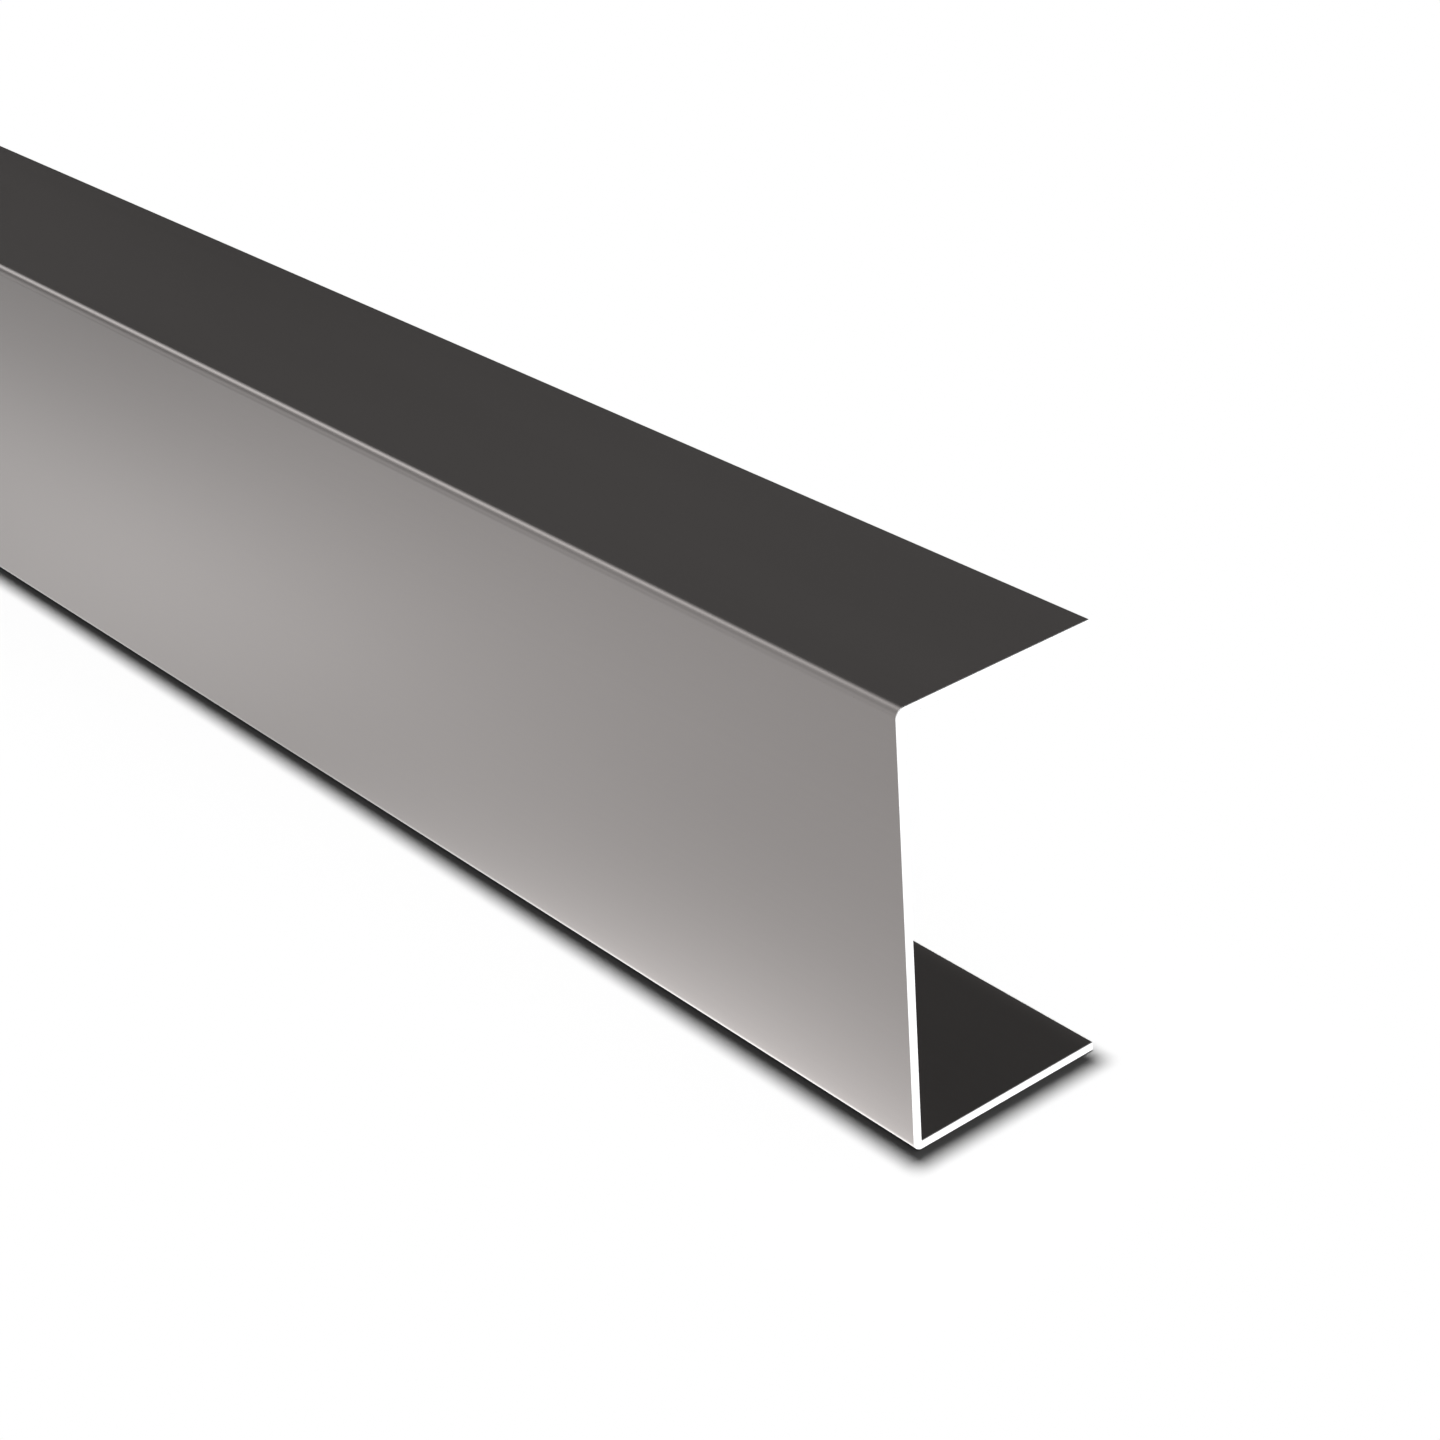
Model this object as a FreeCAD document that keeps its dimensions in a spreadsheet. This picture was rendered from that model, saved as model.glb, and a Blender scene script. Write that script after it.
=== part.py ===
# U-channel of folded sheet metal, one bar of stock.
#
# The real thing is one strip of coated aluminium sheet, folded twice through a right angle on a press
# brake, so it is one solid: a web with an equal flange on each side, joined by two tight bends.
# Both ends are cut square, and every cut edge, round the ends and along the flanges, is deburred.
#
# Frame, in millimetres: X runs along the bar, Y from the web towards the open side, Z up.
# The bar rests on its lower flange. The origin is the middle of the bar's footprint.
import FreeCAD, Part
import math
import os
import Sketcher

# Driving dimensions: name, value, what it measures.
SIZES = (
    ("bar_length", 1000.0, "from one cut end to the other"),
    ("web_height", 80.0, "outside, over both flanges"),
    ("flange_width", 40.0, "from the web's outer face to the flange's cut edge"),
    ("sheet_thickness", 1.6, "of the sheet with its coating"),
    ("inner_bend_radius", 0.1, "inside radius of both bends"),
    ("edge_break", 0.15, "rounding that deburring leaves on the cut edges"),
)
LARGEST_BREAK = 0.4  # share of the sheet's thickness that deburring may take from each side
ON_FACE = 1e-4  # distance within which a face counts as lying at the bar's limit

# Numbers that name a point of a piece of outline, and the sketch's own level axis and origin.
START, END, CENTRE = 1, 2, 3
LEVEL_AXIS = -1
ORIGIN = (LEVEL_AXIS, START)


def add_size_sheet(doc):
    """The spreadsheet that holds the driving dimensions, each cell under its own name."""
    sheet = doc.addObject("Spreadsheet::Sheet", "sizes")
    for row, (name, value, meaning) in enumerate(SIZES, start=1):
        sheet.set(f"A{row}", name)
        sheet.set(f"B{row}", str(value))
        sheet.set(f"C{row}", meaning)
        sheet.setAlias(f"B{row}", name)
    doc.recompute()
    return sheet


def origin_plane(body, role):
    """One of the body's own origin planes."""
    return next(plane for plane in body.Origin.OriginFeatures if plane.Role == role)


def straight(sketch, start, end):
    """A level or upright run of the outline."""
    (y0, z0), (y1, z1) = start, end
    run = sketch.addGeometry(Part.LineSegment(FreeCAD.Vector(y0, z0), FreeCAD.Vector(y1, z1)))
    sketch.addConstraint(Sketcher.Constraint("Horizontal" if z0 == z1 else "Vertical", run))
    return run


def quarter_bend(sketch, centre, radius, first_quarter):
    """A quarter circle about the bend's axis, from the given quarter turn to the next."""
    circle = Part.Circle(FreeCAD.Vector(*centre), FreeCAD.Vector(0, 0, 1), radius)
    angles = [quarter * math.pi / 2 for quarter in (first_quarter, first_quarter + 1)]
    return sketch.addGeometry(Part.ArcOfCircle(circle, *angles))


def dimension(sketch, name, size, kind, *where):
    """A named dimension of the sketch, tied to the sheet of sizes."""
    sketch.renameConstraint(sketch.addConstraint(Sketcher.Constraint(kind, *where)), name)
    sketch.setExpression(f"Constraints.{name}", size)


def folded_section(body, sheet):
    """The closed outline of the folded strip, seen along the bar: sketch x is Y and sketch y is Z.

    The two skins of the sheet turn about the same axis at each bend, so the sheet keeps its thickness
    all the way from one cut edge to the other.
    """
    sketch = body.newObject("Sketcher::SketchObject", "folded_section")
    sketch.AttachmentSupport = [(origin_plane(body, "YZ_Plane"), "")]
    sketch.MapMode = "FlatFace"

    # The limits of the section, and where its two skins stand.
    web_skin, cut_edge = -sheet.flange_width / 2, sheet.flange_width / 2
    top, sheet_thickness = sheet.web_height, sheet.sheet_thickness
    inside = sheet.inner_bend_radius
    outside = inside + sheet_thickness
    web_inside, bend_axis = web_skin + sheet_thickness, web_skin + outside

    # Outer skin: underside, web and top. Inner skin: the same three runs, one sheet thickness in.
    underside = straight(sketch, (cut_edge, 0), (bend_axis, 0))
    web_outer = straight(sketch, (web_skin, outside), (web_skin, top - outside))
    top_side = straight(sketch, (bend_axis, top), (cut_edge, top))
    high_inner_run = straight(sketch, (cut_edge, top - sheet_thickness), (bend_axis, top - sheet_thickness))
    web_inner = straight(sketch, (web_inside, top - outside), (web_inside, outside))
    low_inner_run = straight(sketch, (bend_axis, sheet_thickness), (cut_edge, sheet_thickness))
    top_cut = straight(sketch, (cut_edge, top), (cut_edge, top - sheet_thickness))
    low_cut = straight(sketch, (cut_edge, sheet_thickness), (cut_edge, 0))

    # Bends: quarter circles that open towards the web's outer face.
    low_outer = quarter_bend(sketch, (bend_axis, outside), outside, 2)
    low_inner = quarter_bend(sketch, (bend_axis, outside), inside, 2)
    high_outer = quarter_bend(sketch, (bend_axis, top - outside), outside, 1)
    high_inner = quarter_bend(sketch, (bend_axis, top - outside), inside, 1)

    corners = (
        (low_cut, END, underside, START), (top_side, END, top_cut, START),
        (top_cut, END, high_inner_run, START), (low_inner_run, END, low_cut, START),
        (low_outer, CENTRE, low_inner, CENTRE), (high_outer, CENTRE, high_inner, CENTRE),
    )
    for corner in corners:
        sketch.addConstraint(Sketcher.Constraint("Coincident", *corner))
    flush_joins = (
        (underside, END, low_outer, END), (low_outer, START, web_outer, START),
        (web_outer, END, high_outer, END), (high_outer, START, top_side, START),
        (high_inner_run, END, high_inner, START), (high_inner, END, web_inner, START),
        (web_inner, END, low_inner, START), (low_inner, END, low_inner_run, START),
    )
    for join in flush_joins:
        sketch.addConstraint(Sketcher.Constraint("Tangent", *join))
    sketch.addConstraint(Sketcher.Constraint("Equal", low_inner, high_inner))
    sketch.addConstraint(Sketcher.Constraint("Vertical", underside, START, top_side, END))
    sketch.addConstraint(Sketcher.Constraint("PointOnObject", underside, START, LEVEL_AXIS))

    dimension(sketch, "height", "sizes.web_height", "DistanceY", underside, START, top_side, END, top)
    dimension(sketch, "width", "sizes.flange_width", "DistanceX", web_outer, END, top_side, END,
              sheet.flange_width)
    dimension(sketch, "half_width", "sizes.flange_width / 2", "DistanceX", *ORIGIN, top_side, END, cut_edge)
    dimension(sketch, "thickness", "sizes.sheet_thickness", "DistanceY", low_cut, END, low_cut, START,
              sheet_thickness)
    dimension(sketch, "inside_radius", "sizes.inner_bend_radius", "Radius", low_inner, inside)
    return sketch


def cut_edges(bar):
    """The names of the edges that cutting left: round both ends, and along both flanges."""
    open_side = max(corner.Y for corner in bar.Vertexes)

    def is_cut(face):
        box = face.BoundBox
        return box.XLength < ON_FACE or box.YMin > open_side - ON_FACE

    sharp = [edge for face in bar.Faces if is_cut(face) for edge in face.Edges]
    return [f"Edge{number}" for number, edge in enumerate(bar.Edges, start=1)
            if any(edge.isSame(other) for other in sharp)]


def u_channel(doc, sheet):
    """The bar: the folded section drawn out to its length, with its cut edges rounded over."""
    body = doc.addObject("PartDesign::Body", "u_channel")
    body.Label = "u_channel"

    bar = body.newObject("PartDesign::Pad", "bar")
    bar.Profile = folded_section(body, sheet)
    bar.SideType = "Symmetric"
    bar.setExpression("Length", "sizes.bar_length")
    doc.recompute()

    deburred = body.newObject("PartDesign::Fillet", "deburred")
    deburred.Base = (bar, cut_edges(bar.Shape))
    deburred.setExpression("Radius", f"min(sizes.edge_break; sizes.sheet_thickness * {LARGEST_BREAK})")
    doc.recompute()
    return body


def check(doc, bodies):
    """Stops before anything is written if an object failed or a solid isn't sound."""
    for item in doc.Objects:
        if {"Invalid", "Error"} & set(item.State):
            raise RuntimeError(f"{item.Name} failed: {item.State}")
    for body in bodies:
        if body.Shape.isNull() or not body.Shape.isValid() or len(body.Shape.Solids) != 1:
            raise RuntimeError(f"{body.Label} is not one sound solid")


def main():
    doc = FreeCAD.newDocument("u_channel")
    sheet = add_size_sheet(doc)
    bodies = [u_channel(doc, sheet)]
    check(doc, bodies)
    os.makedirs("parts", exist_ok=True)
    for body in bodies:
        body.Shape.exportStep(f"parts/{body.Label}.step")
        box = body.Shape.optimalBoundingBox()
        print(f"{body.Label}: {box.XLength:.2f} x {box.YLength:.2f} x {box.ZLength:.2f} mm, "
              f"{body.Shape.Volume:.1f} mm3, {len(body.Shape.Faces)} faces")


main()
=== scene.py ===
"""A bar of folded sheet-metal U-channel, finished and lit for a product picture.

Everything is in metres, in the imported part's own frame: X along the bar, Y from the web towards the open
side, Z up. The bar stands on its lower flange with the end at +X nearest to the camera.
"""

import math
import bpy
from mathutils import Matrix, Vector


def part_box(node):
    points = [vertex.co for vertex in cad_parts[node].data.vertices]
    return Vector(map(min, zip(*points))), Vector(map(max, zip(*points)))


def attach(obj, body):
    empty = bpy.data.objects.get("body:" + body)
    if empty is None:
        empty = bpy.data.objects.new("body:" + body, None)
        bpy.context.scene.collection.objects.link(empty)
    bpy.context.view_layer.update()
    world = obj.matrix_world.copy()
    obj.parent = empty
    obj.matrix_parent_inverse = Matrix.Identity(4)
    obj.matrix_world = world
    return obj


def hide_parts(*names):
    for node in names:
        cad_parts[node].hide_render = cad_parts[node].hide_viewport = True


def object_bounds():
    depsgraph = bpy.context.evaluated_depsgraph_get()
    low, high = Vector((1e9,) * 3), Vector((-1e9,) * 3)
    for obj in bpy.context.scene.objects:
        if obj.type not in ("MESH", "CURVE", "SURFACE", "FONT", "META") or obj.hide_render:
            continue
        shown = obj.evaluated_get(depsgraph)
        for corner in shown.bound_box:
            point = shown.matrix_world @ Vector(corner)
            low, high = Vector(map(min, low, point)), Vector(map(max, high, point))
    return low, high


bl_info = {
    "name": "Folded U-channel",
    "version": (1, 0, 0),
    "blender": (4, 5, 0),
    "location": "3D View > Sidebar > U-channel",
    "description": "Folds a bar of coated sheet into a U-channel and sets up a plain studio round it",
    "category": "Add Mesh",
}

from typing import NamedTuple

import bmesh
import bpy
from bpy.props import FloatProperty, FloatVectorProperty, IntProperty, PointerProperty
from bpy.types import Operator, Panel, PropertyGroup
from mathutils import Matrix, Vector

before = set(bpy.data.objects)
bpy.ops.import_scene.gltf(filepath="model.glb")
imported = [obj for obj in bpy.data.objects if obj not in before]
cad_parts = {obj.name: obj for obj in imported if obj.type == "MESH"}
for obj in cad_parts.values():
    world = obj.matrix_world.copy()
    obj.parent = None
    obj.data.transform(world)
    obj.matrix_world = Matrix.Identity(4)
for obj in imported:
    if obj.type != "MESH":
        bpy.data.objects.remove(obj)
CAD_LOW, CAD_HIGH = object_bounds()
NODE = "u_channel"

BARE = 1  # the bar's second material, which its cut faces take
SQUARE_ON = 0.99  # a face counts as facing along an axis if its normal has this much of it

# Where the camera stands, from the lowest outer corner of the bar's near end, and how it is turned.
CAMERA_FROM_CORNER = Vector((0.2971, -0.2602, 0.2969))
CAMERA_YAW = math.radians(52.51)
CAMERA_PITCH = math.radians(-28.76)
CAMERA_ROLL = math.radians(-4.29)
CAMERA_CLIP = (0.01, 100.0)
SENSOR_WIDTH = 36.0  # millimetres, as the lens
PICTURE_WIDTH = 1440  # pixels, as the focal length
FOCAL_PIXELS = 3085

FLOOR_SIDE = 12.0
FLOOR_GAP = 0.0001  # keeps the floor clear of the flange that lies on it
WHITE = (1.0, 1.0, 1.0, 1.0)

# Numbers of the sockets of a Mix node for colours, because some of them share a name.
MIX_SHARE, MIX_FIRST, MIX_SECOND, MIX_RESULT = 0, 6, 7, 2


class Pattern(NamedTuple):
    """A pattern of noise in a metal finish, and how strongly it shows."""

    swells: tuple  # in a metre along X, Y and Z
    detail: float = 2.0
    roughness: float = 0.5
    in_color: float = 0.0  # share of the step from the darker shade to the lighter one
    in_gloss: float = 0.0  # how much the finish's roughness varies with it
    in_relief: float = 0.0  # share of the relief's height


NOISE_MIDDLE = 0.5  # the noise goes from 0 to 1

TONE = Pattern((5, 30, 30), in_color=0.5, in_gloss=0.05)
STREAKS = Pattern((3, 900, 900), detail=3, roughness=0.6, in_color=0.25, in_gloss=0.04)
PIGMENT = Pattern((2600, 2600, 2600), roughness=0.7, in_color=0.25, in_gloss=0.05, in_relief=0.4)
ORANGE_PEEL = Pattern((420, 420, 420), detail=1, in_relief=0.6)
CUT_GRAIN = Pattern((3200, 3200, 3200), roughness=0.6, in_color=0.6, in_gloss=0.08, in_relief=0.5)
BLADE_MARKS = Pattern((9000, 700, 700), in_color=0.4, in_gloss=0.12, in_relief=0.5)

# Each finish's darker and lighter shade, as shares of its colour, and the height of its relief.
COAT_SHADES = (0.92, 1.08)
COAT_RELIEF = 0.000004
CUT_SHADES = (0.94, 1.0)
CUT_RELIEF = 0.000006


class Ramp(NamedTuple):
    """A smooth step: where it starts and ends, and the brightness or share that it goes from and to."""

    start: float
    end: float
    first: float = 0.0
    last: float = 1.0


# The room that the metal mirrors. Its ramps run over the X, Y or Z of a direction into it.
FAR_END = (-0.72, -0.88)  # X, where the room gets darker beyond the bar's far end
WALL_FOOT = Ramp(*FAR_END, 1.0, 0.70)  # the wall on the web's side, low down
WALL_TOP = Ramp(*FAR_END, 0.74, 0.06)  # and high up
WALL_HEIGHT = Ramp(0.08, 0.42)  # Z, from the wall's foot to its top
OPEN_SIDE = Ramp(*FAR_END, 1.0, 0.24)
OPEN_FOOT = Ramp(0.12, 0.34, 9.5, 0.0)  # Z, up the paler foot of the open side
OPEN_FOOT_END = Ramp(-0.75, -0.35)  # X, from beyond the far end, where that foot is as dark as the rest
WEB_SIDE = Ramp(0.0, -0.3)  # Y, from the open side to the wall on the web's side
STRIP_PLACE = -0.055  # Y of the line along which the strip light hangs
STRIP_TO_WEB = 0.16  # how far its light spreads from there to the web's side
STRIP_TO_OPEN = 0.235  # and how far to the open side
STRIP_RISE = Ramp(0.30, 0.50)  # Z, from below the strip light into it
STRIP_OVERHEAD = Ramp(0.62, 0.80, 1.0, 0.27)  # Z, from there to straight above

# Pools of light on the floor, which only the metal mirrors. Their ramps run back along the bar from its
# near end or, where the name ends in OUT, away from its side.
EVEN_POOL = Ramp(0.14, 0.50, 0.92, 0.58)
EVEN_POOL_START = Ramp(0.06, 0.15, 0.96, 1.0)  # a little dimmer beside the near end
EVEN_POOL_OUT = Ramp(0.074, 0.094, 1.0, 0.945)
OUTER_POOL = Ramp(0.25, 0.65, 0.93, 0.62)  # takes over from the even pool further off
OUTER_POOL_OUT = Ramp(0.13, 0.22)
LONG_POOL = Ramp(0.08, 0.32, 0.0, 0.48)
LONG_POOL_OUT = Ramp(0.030, 0.105, 1.0, 0.0)
LONG_POOL_DIP_OUT = Ramp(0.0, 0.035, 0.74, 1.0)  # dimmer right beside the bar
END_POOL = Ramp(0.035, 0.20, 0.94, 0.0)
END_POOL_REACH = 0.0185  # away from the bar's side, as the glint's
GLINT = Ramp(0.03, 0.20, 1.15, 0.0)
GLINT_REACH = 0.0008

# Ramps that run out from the bar itself, past its ends or its sides.
END_FLOOR = Ramp(0.25, 0.60, 1.0, 0.0)  # the brighter floor that the cut faces mirror
WHITE_FLOOR = Ramp(0.010, 0.045)  # where the floor turns white to the camera


class ChannelSizes(PropertyGroup):
    """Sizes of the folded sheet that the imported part's box doesn't give."""

    sheet_thickness: FloatProperty(
        name="Sheet thickness", description="Thickness of the sheet with its coating",
        default=0.0016, min=0.0003, max=0.006, precision=5, subtype="DISTANCE", unit="LENGTH")
    inner_bend_radius: FloatProperty(
        name="Inner bend radius", description="Inside radius of both bends",
        default=0.0001, min=0.00002, max=0.01, precision=5, subtype="DISTANCE", unit="LENGTH")
    edge_break: FloatProperty(
        name="Edge break", description="Rounding that deburring leaves on the cut edges",
        default=0.00015, min=0.00002, max=0.0005, precision=5, subtype="DISTANCE", unit="LENGTH")
    bend_segments: IntProperty(
        name="Bend segments", description="Faces across each bend", default=16, min=2, max=64)
    edge_segments: IntProperty(
        name="Edge segments", description="Faces across each rounded cut edge", default=3, min=1, max=8)


class SheetFinish(PropertyGroup):
    """Colours and gloss of the coated faces and of the bare cut edges."""

    coat_color: FloatVectorProperty(
        name="Coat colour", description="Warm grey of the metallic coating",
        default=(0.309, 0.288, 0.281), min=0.0, max=1.0, size=3, subtype="COLOR")
    coat_roughness: FloatProperty(
        name="Coat roughness", description="How satin the coating is",
        default=0.30, min=0.0, max=1.0, subtype="FACTOR")
    coat_metallic: FloatProperty(
        name="Coat metallic", description="Share of metal pigment in the coating",
        default=0.935, min=0.0, max=1.0, subtype="FACTOR")
    bare_color: FloatVectorProperty(
        name="Bare metal colour", description="Bright aluminium of the cut edges",
        default=(0.91, 0.91, 0.915), min=0.0, max=1.0, size=3, subtype="COLOR")
    bare_roughness: FloatProperty(
        name="Bare metal roughness", description="How rough cutting leaves the edges",
        default=0.38, min=0.0, max=1.0, subtype="FACTOR")


class StudioSettings(PropertyGroup):
    """Floor, light and what the metal mirrors."""

    floor_color: FloatVectorProperty(
        name="Floor colour", description="Pale floor that the bar stands on",
        default=(0.86, 0.86, 0.86), min=0.0, max=1.0, size=3, subtype="COLOR")
    key_power: FloatProperty(
        name="Key power", description="Power of the soft lamp that hangs above the near end",
        default=44.0, min=0.0, max=500.0, subtype="POWER", unit="POWER")
    key_radius: FloatProperty(
        name="Key radius", description="Radius of the lamp, which sets how soft shadows are",
        default=0.040, min=0.0, max=1.0, subtype="DISTANCE", unit="LENGTH")
    key_height: FloatProperty(
        name="Key height", description="Height of the lamp above the floor",
        default=1.39, min=0.2, max=10.0, subtype="DISTANCE", unit="LENGTH")
    key_setback: FloatProperty(
        name="Key setback", description="How far back from the near end the lamp hangs",
        default=0.060, min=-1.0, max=1.0, subtype="DISTANCE", unit="LENGTH")
    key_aside: FloatProperty(
        name="Key aside", description="How far the lamp hangs to the open side of the bar's middle",
        default=0.025, min=-1.0, max=1.0, subtype="DISTANCE", unit="LENGTH")
    fill_strength: FloatProperty(
        name="Fill strength", description="Strength of the even light from all round",
        default=0.065, min=0.0, max=5.0)
    wall_glow: FloatProperty(
        name="Wall glow", description="Brightness that the metal mirrors on the web's side of the room",
        default=0.95, min=0.0, max=5.0)
    open_side_glow: FloatProperty(
        name="Open side glow", description="Brightness that the metal mirrors on the open side of the room",
        default=0.080, min=0.0, max=5.0)
    strip_glow: FloatProperty(
        name="Strip light glow", description="Brightness of the mirrored strip light along the bar",
        default=2.15, min=0.0, max=5.0)
    floor_glow: FloatProperty(
        name="Floor glow", description="Brightness of the floor that the cut ends mirror",
        default=1.6, min=0.0, max=5.0)


class Wire:
    """One output of a node. Arithmetic on wires and numbers adds Math nodes."""

    def __init__(self, recipe, socket):
        self.recipe = recipe
        self.socket = socket

    def __add__(self, other):
        return self.recipe.math("ADD", self, other)

    __radd__ = __add__

    def __sub__(self, other):
        return self.recipe.math("SUBTRACT", self, other)

    def __rsub__(self, other):
        return self.recipe.math("SUBTRACT", other, self)

    def __mul__(self, other):
        return self.recipe.math("MULTIPLY", self, other)

    __rmul__ = __mul__

    def __truediv__(self, other):
        return self.recipe.math("DIVIDE", self, other)

    def __rtruediv__(self, other):
        return self.recipe.math("DIVIDE", other, self)


class Recipe:
    """The node tree of a material, a lamp or the world, started empty."""

    def __init__(self, owner):
        owner.use_nodes = True
        self.tree = owner.node_tree
        self.tree.nodes.clear()

    def node(self, kind, settings=None, inputs=None, output=0):
        """Adds a node: its settings first, then a value or a wire for each socket. Gives one output."""
        made = self.tree.nodes.new(kind)
        for name, value in (settings or {}).items():
            setattr(made, name, value)
        for name, value in (inputs or {}).items():
            if isinstance(value, Wire):
                self.tree.links.new(value.socket, made.inputs[name])
            else:
                made.inputs[name].default_value = value
        return Wire(self, made.outputs[output]) if made.outputs else None

    def math(self, operation, *values):
        """A Math node on wires and numbers."""
        return self.node("ShaderNodeMath", {"operation": operation}, dict(enumerate(values)))

    def ease(self, value, ramp):
        """What a ramp gives for a value."""
        return self.node("ShaderNodeMapRange", {"interpolation_type": "SMOOTHSTEP"}, {
            "Value": value, "From Min": ramp.start, "From Max": ramp.end,
            "To Min": ramp.first, "To Max": ramp.last})

    def fade(self, distance, reach):
        """1 at no distance, and about a third of it with each further reach."""
        return self.math("EXPONENT", distance / -reach)

    def axis(self, vector, name):
        """One part of a vector: X, Y or Z."""
        return self.node("ShaderNodeSeparateXYZ", inputs={"Vector": vector}, output=name)

    def ray(self, question):
        """What the Light Path node says of the ray that arrives, such as whether the camera sent it."""
        return self.node("ShaderNodeLightPath", output=question)

    def seen_first_hand(self):
        """1 where the metal shows this itself, and 0 where a matt surface has scattered the light since."""
        return self.math("LESS_THAN", self.ray("Diffuse Depth"), 0.5)

    def noise(self, pattern):
        """A pattern's noise, from 0 to 1, laid out in the object's own coordinates."""
        here = self.node("ShaderNodeTexCoord", output="Object")
        stretched = self.node("ShaderNodeMapping", inputs={"Vector": here, "Scale": pattern.swells})
        inputs = {"Vector": stretched, "Scale": 1.0, "Detail": pattern.detail,
                  "Roughness": pattern.roughness}
        return self.node("ShaderNodeTexNoise", {"noise_dimensions": "3D"}, inputs, output="Fac")

    def tint(self, share, first, second):
        """The first colour, with the second one mixed in for its share."""
        inputs = {MIX_SHARE: share, MIX_FIRST: (*first, 1.0), MIX_SECOND: (*second, 1.0)}
        return self.node("ShaderNodeMix", {"data_type": "RGBA"}, inputs, output=MIX_RESULT)

    def glow(self, strength):
        """A shader that gives off white light."""
        return self.node("ShaderNodeEmission", inputs={"Color": WHITE, "Strength": strength})

    def blend(self, share, first, second):
        """The first shader, with the second one mixed in for its share."""
        return self.node("ShaderNodeMixShader", inputs={0: share, 1: first, 2: second})


def shade(color, factor):
    """A colour made lighter or darker."""
    return tuple(min(1.0, part * factor) for part in color)


def metal_material(name, color, shades, metallic, roughness, relief, patterns):
    """Metal whose colour, gloss and fine relief follow the same patterns."""
    material = bpy.data.materials.new(name)
    recipe = Recipe(material)
    noises = [(recipe.noise(pattern), pattern) for pattern in patterns]
    share = sum(noise * pattern.in_color for noise, pattern in noises if pattern.in_color)
    swings = [(noise - NOISE_MIDDLE) * pattern.in_gloss for noise, pattern in noises if pattern.in_gloss]
    height = sum(noise * pattern.in_relief for noise, pattern in noises if pattern.in_relief)
    darker, lighter = (shade(color, factor) for factor in shades)
    bump = recipe.node("ShaderNodeBump", inputs={"Strength": 1.0, "Distance": relief, "Height": height})
    shader = recipe.node("ShaderNodeBsdfPrincipled", inputs={
        "Base Color": recipe.tint(share, darker, lighter), "Metallic": metallic,
        "Roughness": sum(swings, start=roughness), "Normal": bump})
    recipe.node("ShaderNodeOutputMaterial", inputs={"Surface": shader})
    return material


def coated_sheet_material(finish):
    """Satin metallic coating: pigment grain, orange peel, faint rolling streaks, slow changes of tone."""
    return metal_material(
        "satin_coating", color=finish.coat_color, shades=COAT_SHADES, metallic=finish.coat_metallic,
        roughness=finish.coat_roughness, relief=COAT_RELIEF,
        patterns=(TONE, STREAKS, PIGMENT, ORANGE_PEEL))


def bare_cut_material(finish):
    """Bright bare aluminium where the sheet is cut, with fine marks of the blade and of deburring."""
    return metal_material(
        "bare_cut_metal", color=finish.bare_color, shades=CUT_SHADES, metallic=1.0,
        roughness=finish.bare_roughness, relief=CUT_RELIEF, patterns=(CUT_GRAIN, BLADE_MARKS))


def along_bar(edge):
    """Whether an edge runs the bar's length."""
    start, end = (corner.co for corner in edge.verts)
    return abs(start.x - end.x) > (CAD_HIGH.x - CAD_LOW.x) / 2


def at_bend(edge, low, high, inset, reach):
    """Whether an edge lies at one of the section's two corners, the given distance in from the outside."""
    corner = edge.verts[0].co
    beside_web = abs(corner.y - (low.y + inset)) < reach
    beside_flange = min(abs(corner.z - (low.z + inset)), abs(corner.z - (high.z - inset))) < reach
    return beside_web and beside_flange


def round_over(bm, edges, radius, segments):
    """Rounds edges over, and gives the faces that this makes."""
    rounded = bmesh.ops.bevel(bm, geom=edges, offset=radius, offset_type="OFFSET", affect="EDGES",
                              segments=segments, profile=0.5, material=-1)
    return rounded["faces"]


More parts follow.
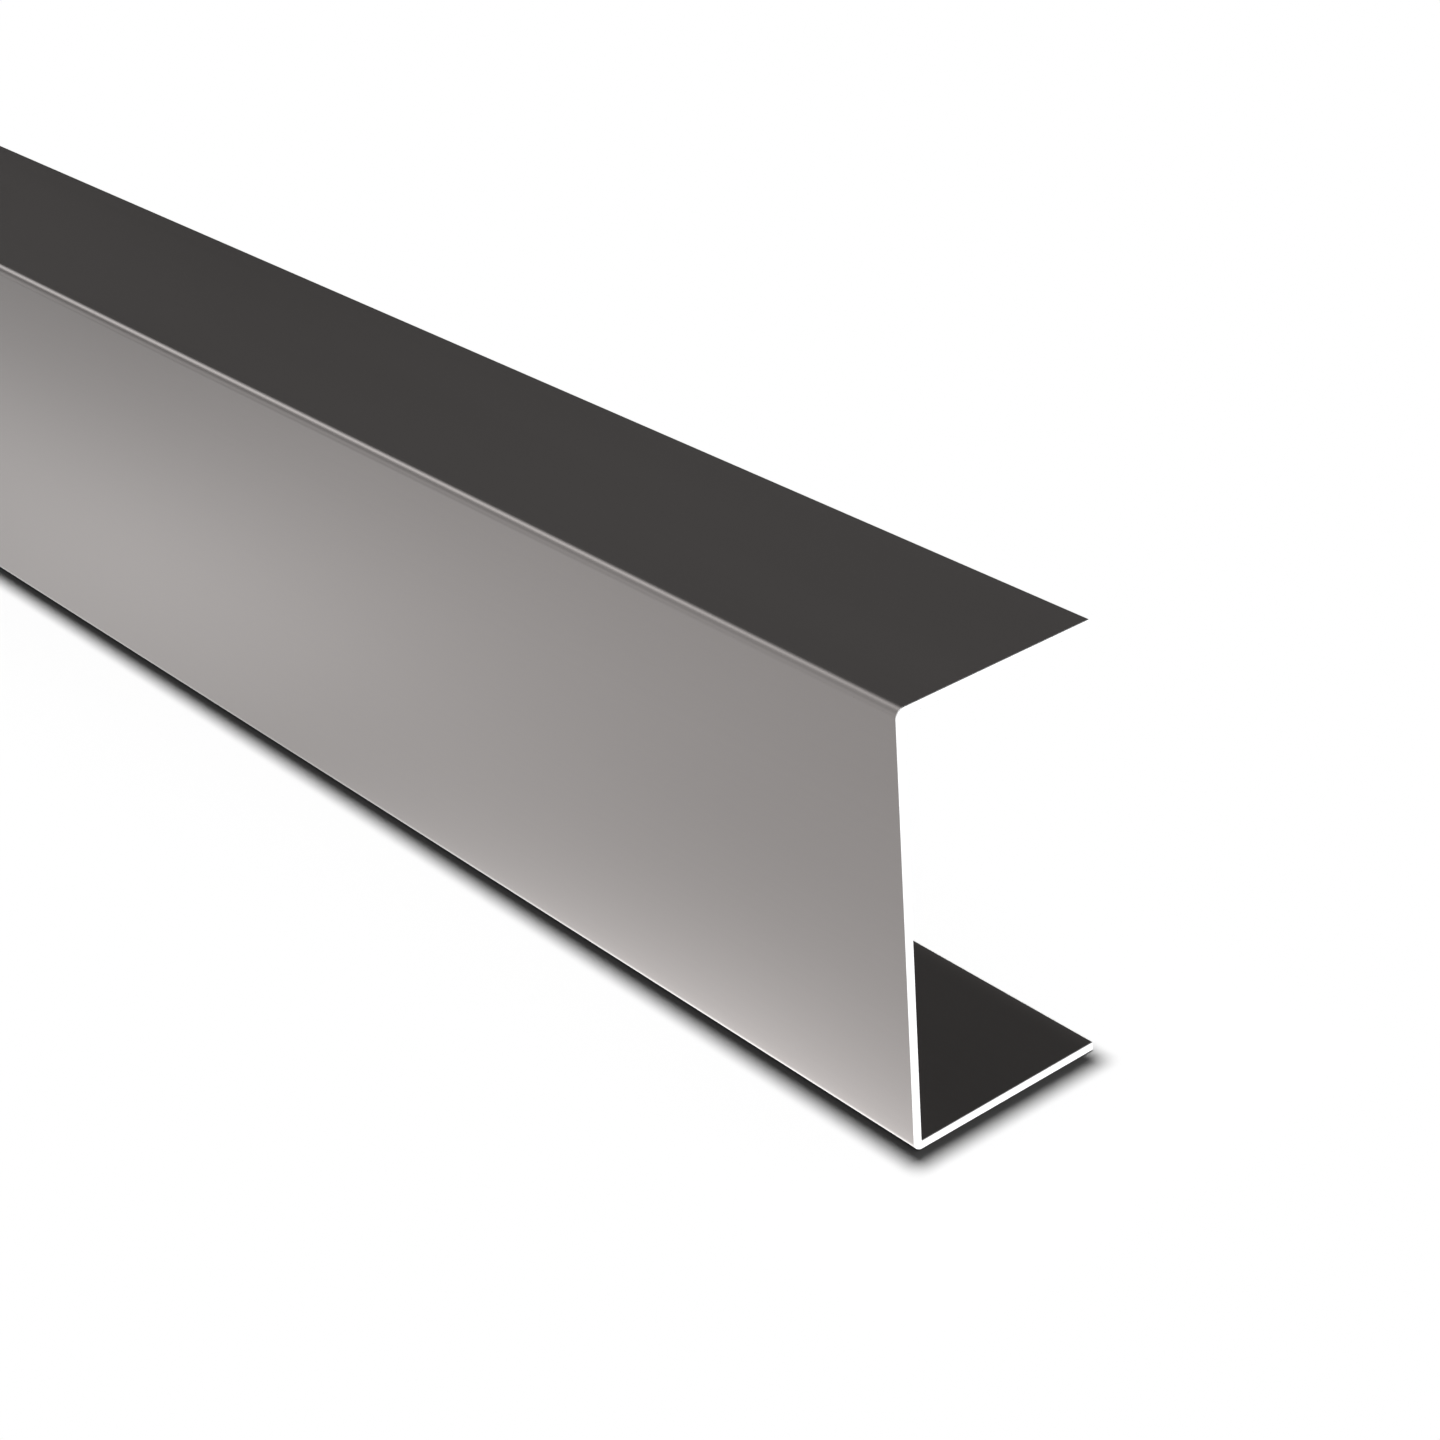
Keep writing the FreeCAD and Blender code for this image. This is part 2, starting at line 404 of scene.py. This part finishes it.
class CHANNEL_OT_fold_bar(Operator):
    """Folds the bar: web, two flanges and two bends, with deburred bare metal at every cut edge"""

    bl_idname = "channel.fold_bar"
    bl_label = "Fold the bar"

    def execute(self, context):
        sizes = context.scene.channel_sizes
        finish = context.scene.sheet_finish
        low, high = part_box(NODE)
        mesh = bpy.data.meshes.new("folded_channel")
        bm = bmesh.new()
        self.draw_out_section(bm, low, high, sizes.sheet_thickness)
        self.round_bends(bm, low, high, sizes)
        self.deburr(bm, sizes)
        for face in bm.faces:
            face.smooth = True
        bm.to_mesh(mesh)
        bm.free()

        bar = bpy.data.objects.new("folded_channel", mesh)
        context.scene.collection.objects.link(bar)
        mesh.materials.append(coated_sheet_material(finish))
        mesh.materials.append(bare_cut_material(finish))
        bar.modifiers.new("flat faces stay flat", "WEIGHTED_NORMAL")
        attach(bar, "root")
        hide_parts(NODE)
        return {"FINISHED"}

    @staticmethod
    def draw_out_section(bm, low, high, thickness):
        """The section with sharp corners, drawn out from the far end to the near one."""
        outer = [(high.y, low.z), (low.y, low.z), (low.y, high.z), (high.y, high.z)]
        inner = [(high.y, high.z - thickness), (low.y + thickness, high.z - thickness),
                 (low.y + thickness, low.z + thickness), (high.y, low.z + thickness)]
        section = bm.faces.new([bm.verts.new((low.x, y, z)) for y, z in outer + inner])
        drawn = bmesh.ops.extrude_face_region(bm, geom=[section], use_keep_orig=True)
        moved = [item for item in drawn["geom"] if isinstance(item, bmesh.types.BMVert)]
        bmesh.ops.translate(bm, verts=moved, vec=(high.x - low.x, 0.0, 0.0))
        bmesh.ops.recalc_face_normals(bm, faces=bm.faces)

    @staticmethod
    def round_bends(bm, low, high, sizes):
        """Rounds the four long edges at the bends, outside and inside about the same axis."""
        thickness, inside = sizes.sheet_thickness, sizes.inner_bend_radius
        for inset, radius in ((0.0, inside + thickness), (thickness, inside)):
            edges = [edge for edge in bm.edges
                     if along_bar(edge) and at_bend(edge, low, high, inset, reach=thickness / 2)]
            round_over(bm, edges, radius, sizes.bend_segments)

    @staticmethod
    def deburr(bm, sizes):
        """Rounds the edges of the cut faces, and gives them and the rounding bare metal."""
        cuts = [face for face in bm.faces if abs(face.normal.x) > SQUARE_ON
                or (face.normal.y > SQUARE_ON and face.calc_center_median().y > 0)]
        for face in cuts:
            face.material_index = BARE
        edges = list({edge for face in cuts for edge in face.edges})
        for face in round_over(bm, edges, sizes.edge_break, sizes.edge_segments):
            face.material_index = BARE


def strip_light(recipe, across, height):
    """How bright a strip light is that hangs high along the bar, a little to the web's side.

    It spreads further to the open side than to the web's, and is fainter straight above.
    """
    aside = across - STRIP_PLACE
    to_open = recipe.math("GREATER_THAN", aside, 0.0)
    off_line = aside / (STRIP_TO_WEB + to_open * (STRIP_TO_OPEN - STRIP_TO_WEB))
    return (recipe.math("EXPONENT", off_line * off_line * -1)
            * recipe.ease(height, STRIP_RISE) * recipe.ease(height, STRIP_OVERHEAD))


def mirrored_room(recipe, studio):
    """How bright the room is to the metal that mirrors it.

    The wall on the web's side is pale, and paler low down and beside the near end. The open side is dark,
    with a paler foot except beyond the far end. The strip light gives both bends their shine.
    """
    direction = recipe.node("ShaderNodeTexCoord", output="Generated")
    along, across, height = (recipe.axis(direction, name) for name in "XYZ")
    up_wall = recipe.ease(height, WALL_HEIGHT)
    wall = (1 - up_wall) * recipe.ease(along, WALL_FOOT) + up_wall * recipe.ease(along, WALL_TOP)
    open_foot = recipe.ease(height, OPEN_FOOT) * recipe.ease(along, OPEN_FOOT_END)
    open_side = recipe.ease(along, OPEN_SIDE) + open_foot
    web_side = recipe.ease(across, WEB_SIDE)
    return (web_side * wall * studio.wall_glow + (1 - web_side) * open_side * studio.open_side_glow
            + strip_light(recipe, across, height) * studio.strip_glow)


def pools_of_light(recipe, along, outside):
    """How bright the floor beside the bar is to the metal that mirrors it.

    A wide even pool goes on further off. A long pool lies beside the far stretch, a bright one at the near
    end, and a glint right under the lower bend's edge.
    """
    back = CAD_HIGH.x - along
    out = recipe.math("MAXIMUM", outside, 0.0)
    outer = recipe.ease(out, OUTER_POOL_OUT)
    even_pool = ((1 - outer) * recipe.ease(back, EVEN_POOL) * recipe.ease(back, EVEN_POOL_START)
                 * recipe.ease(out, EVEN_POOL_OUT) + outer * recipe.ease(back, OUTER_POOL))
    long_pool = (recipe.ease(back, LONG_POOL) * recipe.ease(out, LONG_POOL_OUT)
                 * recipe.ease(out, LONG_POOL_DIP_OUT))
    end_pool = recipe.ease(back, END_POOL) * recipe.fade(out, END_POOL_REACH)
    glint = recipe.ease(back, GLINT) * recipe.fade(recipe.math("ABSOLUTE", outside), GLINT_REACH)
    return even_pool + long_pool + end_pool + glint


def floor_material(studio):
    """Pale floor that keeps the bar's shadow.

    The metal mirrors pools of light round the bar instead of that shadow, and brighter floor past each end.
    The camera sees the floor turn white away from the bar, and nothing at all from below.
    """
    material = bpy.data.materials.new("pale_floor")
    recipe = Recipe(material)
    here = recipe.node("ShaderNodeTexCoord", output="Object")
    along, across = (recipe.axis(here, name) for name in "XY")
    past_end = recipe.math("ABSOLUTE", along) - CAD_HIGH.x
    outside = recipe.math("ABSOLUTE", across) - CAD_HIGH.y

    by_end = (recipe.math("GREATER_THAN", past_end, 0.0) * recipe.ease(past_end, END_FLOOR)
              * recipe.ease(outside, END_FLOOR))
    to_metal = (1 - by_end) * pools_of_light(recipe, along, outside) + by_end * studio.floor_glow
    matt = recipe.node("ShaderNodeBsdfDiffuse", inputs={"Color": (*studio.floor_color, 1.0)})
    mirrored = recipe.glow(to_metal * recipe.seen_first_hand())
    surface = recipe.blend(recipe.ray("Is Glossy Ray"), matt, mirrored)

    to_camera = recipe.ray("Is Camera Ray")
    further_off = recipe.ease(recipe.math("MAXIMUM", past_end, outside), WHITE_FLOOR)
    surface = recipe.blend(to_camera * further_off, surface, recipe.glow(1.0))
    below = recipe.node("ShaderNodeNewGeometry", output="Backfacing")
    surface = recipe.blend(to_camera * below, surface, recipe.node("ShaderNodeBsdfTransparent"))
    recipe.node("ShaderNodeOutputMaterial", inputs={"Surface": surface})
    return material


class CHANNEL_OT_set_stage(Operator):
    """Sets the pale floor, the soft overhead light, the plain surroundings and the camera"""

    bl_idname = "channel.set_stage"
    bl_label = "Set the stage"

    def execute(self, context):
        studio = context.scene.studio_settings
        self.lay_floor(context.scene, studio)
        self.hang_key(context.scene, studio)
        self.surround(context.scene, studio)
        self.stand_camera(context.scene)
        context.scene.view_settings.view_transform = "Standard"
        return {"FINISHED"}

    @staticmethod
    def lay_floor(scene, studio):
        """A square of floor, just under the flange that the bar stands on."""
        mesh = bpy.data.meshes.new("floor")
        bm = bmesh.new()
        bmesh.ops.create_grid(bm, x_segments=1, y_segments=1, size=FLOOR_SIDE / 2)
        bmesh.ops.translate(bm, verts=bm.verts, vec=(0.0, 0.0, CAD_LOW.z - FLOOR_GAP))
        bm.to_mesh(mesh)
        bm.free()
        floor = bpy.data.objects.new("floor", mesh)
        scene.collection.objects.link(floor)
        mesh.materials.append(floor_material(studio))

    @staticmethod
    def hang_key(scene, studio):
        """A soft lamp above the near end, which lights the far end as strongly as the near one."""
        lamp = bpy.data.lights.new("overhead_key", "POINT")
        lamp.energy = studio.key_power
        lamp.shadow_soft_size = studio.key_radius
        recipe = Recipe(lamp)
        even = recipe.node("ShaderNodeLightFalloff", inputs={"Strength": 1.0}, output="Constant")
        recipe.node("ShaderNodeOutputLight", inputs={"Surface": recipe.glow(even)})
        key = bpy.data.objects.new("overhead_key", lamp)
        scene.collection.objects.link(key)
        key.location = (CAD_HIGH.x - studio.key_setback, studio.key_aside, CAD_LOW.z + studio.key_height)
        key.visible_glossy = False

    @staticmethod
    def surround(scene, studio):
        """White to the camera, an even fill to matt surfaces, and a plain room to the metal."""
        world = bpy.data.worlds.new("studio")
        scene.world = world
        recipe = Recipe(world)
        to_camera = recipe.ray("Is Camera Ray")
        mirrored = recipe.ray("Is Glossy Ray") * recipe.seen_first_hand()
        light = mirrored * mirrored_room(recipe, studio) + (1 - mirrored) * studio.fill_strength
        strength = to_camera + (1 - to_camera) * light
        background = recipe.node("ShaderNodeBackground", inputs={"Color": WHITE, "Strength": strength})
        recipe.node("ShaderNodeOutputWorld", inputs={"Surface": background})

    @staticmethod
    def stand_camera(scene):
        """The camera of the picture, turned by yaw about the upright, then pitch, then roll."""
        data = bpy.data.cameras.new("picture_camera")
        data.sensor_width = SENSOR_WIDTH
        data.lens = SENSOR_WIDTH * FOCAL_PIXELS / PICTURE_WIDTH
        data.clip_start, data.clip_end = CAMERA_CLIP
        camera = bpy.data.objects.new("picture_camera", data)
        scene.collection.objects.link(camera)
        corner = Vector((CAD_HIGH.x, CAD_LOW.y, CAD_LOW.z))
        turn = (Matrix.Rotation(CAMERA_YAW, 4, "Z") @ Matrix.Rotation(math.pi / 2 + CAMERA_PITCH, 4, "X")
                @ Matrix.Rotation(CAMERA_ROLL, 4, "Z"))
        camera.matrix_world = Matrix.Translation(corner + CAMERA_FROM_CORNER) @ turn
        scene.camera = camera


class VIEW3D_PT_u_channel(Panel):
    """Sizes, finish and studio of the U-channel"""

    bl_label = "U-channel"
    bl_space_type = "VIEW_3D"
    bl_region_type = "UI"
    bl_category = "U-channel"

    def draw(self, context):
        for group in ("channel_sizes", "sheet_finish", "studio_settings"):
            settings = getattr(context.scene, group)
            box = self.layout.box()
            for name in settings.__annotations__:
                box.prop(settings, name)
        self.layout.operator(CHANNEL_OT_fold_bar.bl_idname)
        self.layout.operator(CHANNEL_OT_set_stage.bl_idname)


CLASSES = (ChannelSizes, SheetFinish, StudioSettings, CHANNEL_OT_fold_bar, CHANNEL_OT_set_stage,
           VIEW3D_PT_u_channel)


def register():
    """Registers the tools, and gives the scene their settings."""
    for item in CLASSES:
        bpy.utils.register_class(item)
    bpy.types.Scene.channel_sizes = PointerProperty(type=ChannelSizes)
    bpy.types.Scene.sheet_finish = PointerProperty(type=SheetFinish)
    bpy.types.Scene.studio_settings = PointerProperty(type=StudioSettings)


def unregister():
    """Takes the settings and the tools away again."""
    del bpy.types.Scene.studio_settings
    del bpy.types.Scene.sheet_finish
    del bpy.types.Scene.channel_sizes
    for item in reversed(CLASSES):
        bpy.utils.unregister_class(item)


def main():
    """Builds the bar and its stage."""
    register()
    bpy.ops.channel.fold_bar()
    bpy.ops.channel.set_stage()


if __name__ == "__main__":
    main()
